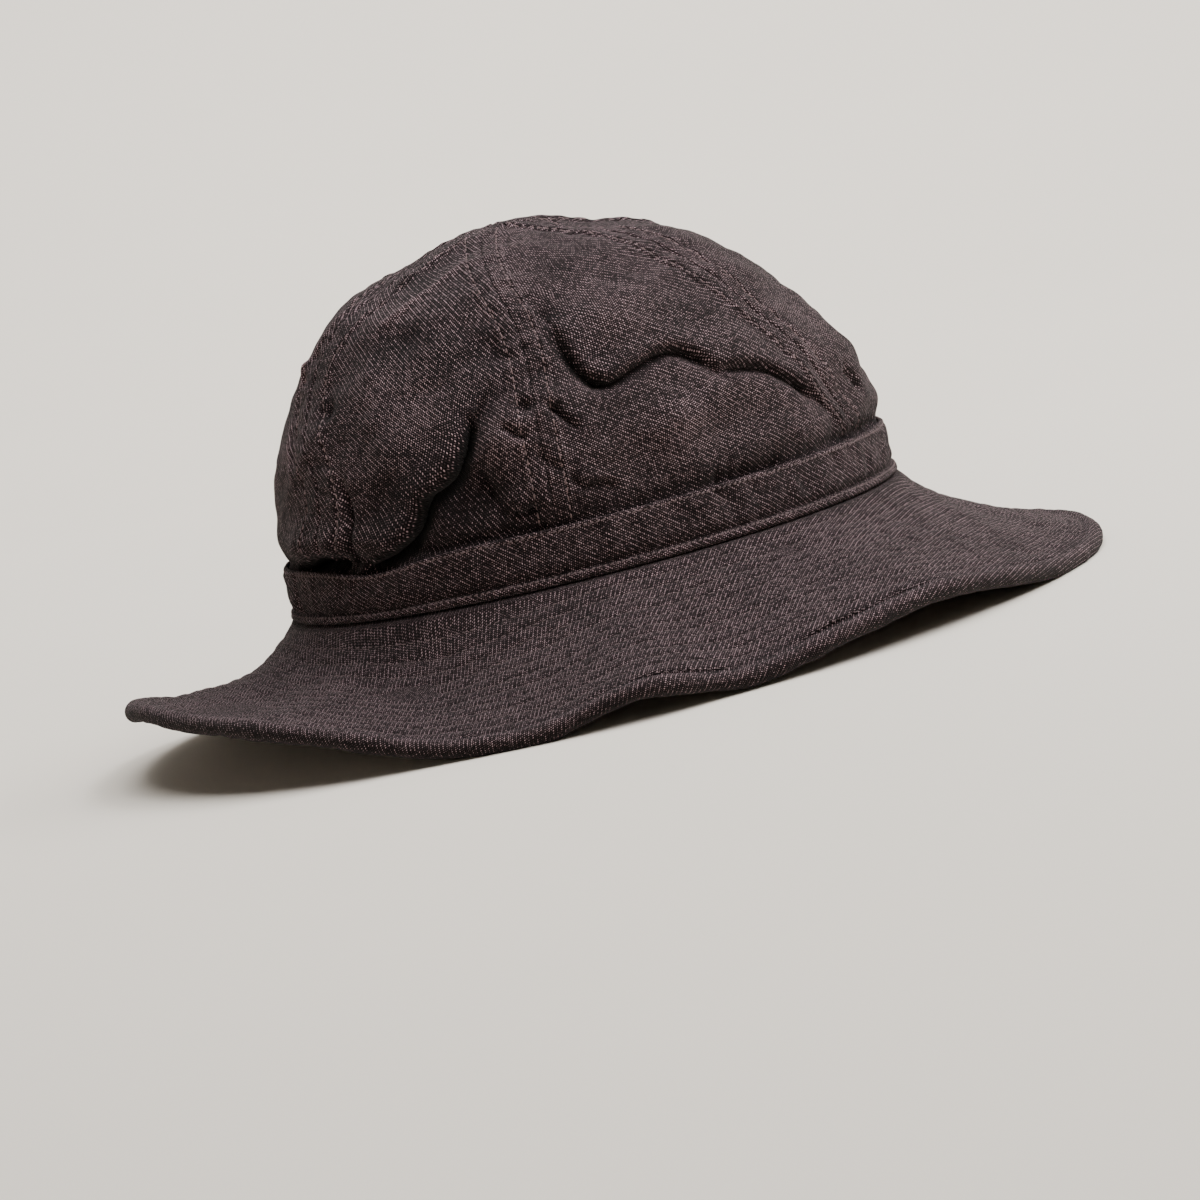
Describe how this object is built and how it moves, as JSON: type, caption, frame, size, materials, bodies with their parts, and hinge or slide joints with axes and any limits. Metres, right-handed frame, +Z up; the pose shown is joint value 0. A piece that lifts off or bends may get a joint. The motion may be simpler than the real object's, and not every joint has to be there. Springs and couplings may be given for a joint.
{
  "type": "fatigue hat",
  "caption": "Soft cloth fatigue hat with a domed crown sewn from panels, a stitched band around its foot and a wide, wavy brim with a rolled edge.",
  "frame": {"origin": "on the floor, under the middle of the hat's box", "axes": "+X to the front of the hat, +Y to the wearer's left, +Z up through the crown"},
  "size_m": [0.3218, 0.2874, 0.1414],
  "materials": {
    "denim": "washed dark plum-brown twill with lighter worn threads"
  },
  "bodies": {
    "root": {"crown_panel_1": "denim", "crown_panel_2": "denim", "crown_panel_3": "denim", "crown_panel_4": "denim", "crown_panel_5": "denim", "crown_panel_6": "denim", "band": "denim", "brim_top": "denim", "brim_under": "denim"}
  },
  "joints": []
}
